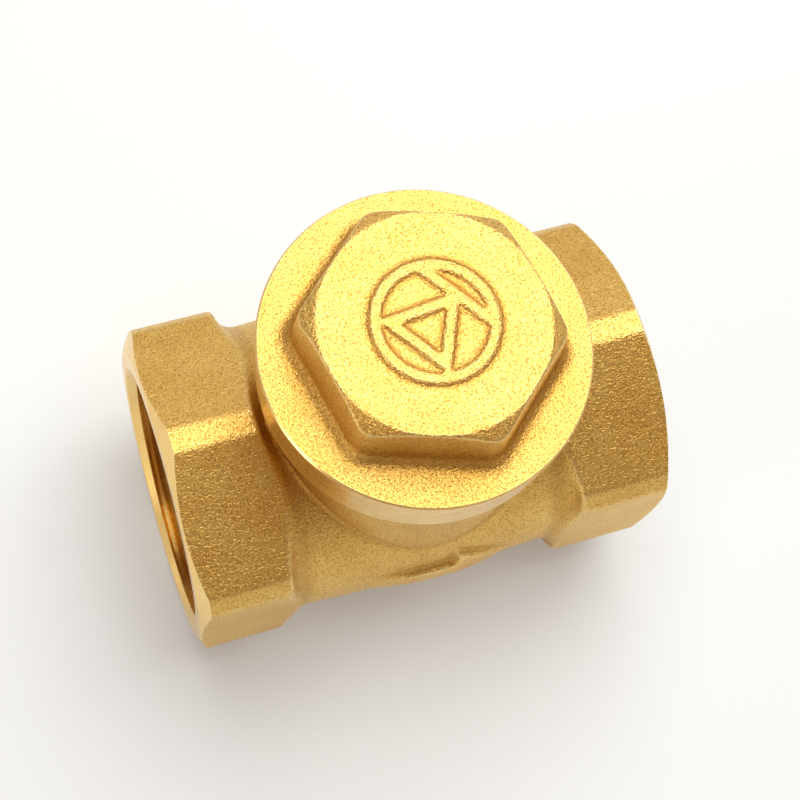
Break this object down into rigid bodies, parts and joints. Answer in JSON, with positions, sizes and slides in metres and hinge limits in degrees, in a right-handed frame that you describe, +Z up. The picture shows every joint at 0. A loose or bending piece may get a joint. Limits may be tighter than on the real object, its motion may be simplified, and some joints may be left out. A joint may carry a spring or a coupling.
{
  "type": "swing check valve",
  "caption": "Swing check valve with hexagonal female-threaded ends, a screwed hex-head bonnet and a hinged, rubber-faced disc that lets flow pass one way only.",
  "frame": {"origin": "centre of the valve, where the pipe axis and the bonnet's axis cross", "axes": "+X along the pipe with the flow, from the inlet to the outlet; +Z up the bonnet's axis; the flow arrow is on the -Y side"},
  "size_m": [0.0618, 0.0392, 0.0617],
  "materials": {
    "forged_brass": "shot-blasted forged brass, turned bright at the end faces and bores",
    "turned_brass": "turned brass with fine tool marks",
    "stainless_steel": "plain turned stainless steel",
    "seal_rubber": "matt black nitrile rubber",
    "gasket_white": "white PTFE"
  },
  "bodies": {
    "housing": {"body": "forged_brass", "hinge_pin": "stainless_steel"},
    "clapper": {"hanger_arm": "turned_brass"},
    "disc_pack": {"disc": "turned_brass", "disc_seal": "seal_rubber", "seal_retainer": "turned_brass", "disc_screw": "stainless_steel", "pivot_bush": "turned_brass", "disc_washer": "stainless_steel", "disc_nut": "stainless_steel"},
    "gasket": {"bonnet_gasket": "gasket_white"},
    "bonnet": {"bonnet": "forged_brass"}
  },
  "joints": [
    {"name": "clapper_swing", "type": "hinge", "parent": "housing", "child": "clapper", "pos_m": [-0.0085, 0, 0.01495], "axis": [0, -1, 0], "range_deg": [0, 60]},
    {"name": "disc_spin", "type": "hinge", "parent": "clapper", "child": "disc_pack", "pos_m": [-0.0041, 0, 0], "axis": [1, 0, 0], "continuous": true},
    {"name": "bonnet_lift", "type": "slide", "parent": "housing", "child": "gasket", "axis": [0, 0, 1], "range_m": [0, 0.01013]},
    {"name": "bonnet_turn", "type": "hinge", "parent": "gasket", "child": "bonnet", "pos_m": [0, 0, 0.0315], "axis": [0, 0, 1], "range_deg": [0, 2430]}
  ],
  "couplings": [
    {"joint": "bonnet_lift", "follows": "bonnet_turn", "m_per_rad": 0.00023873}
  ]
}
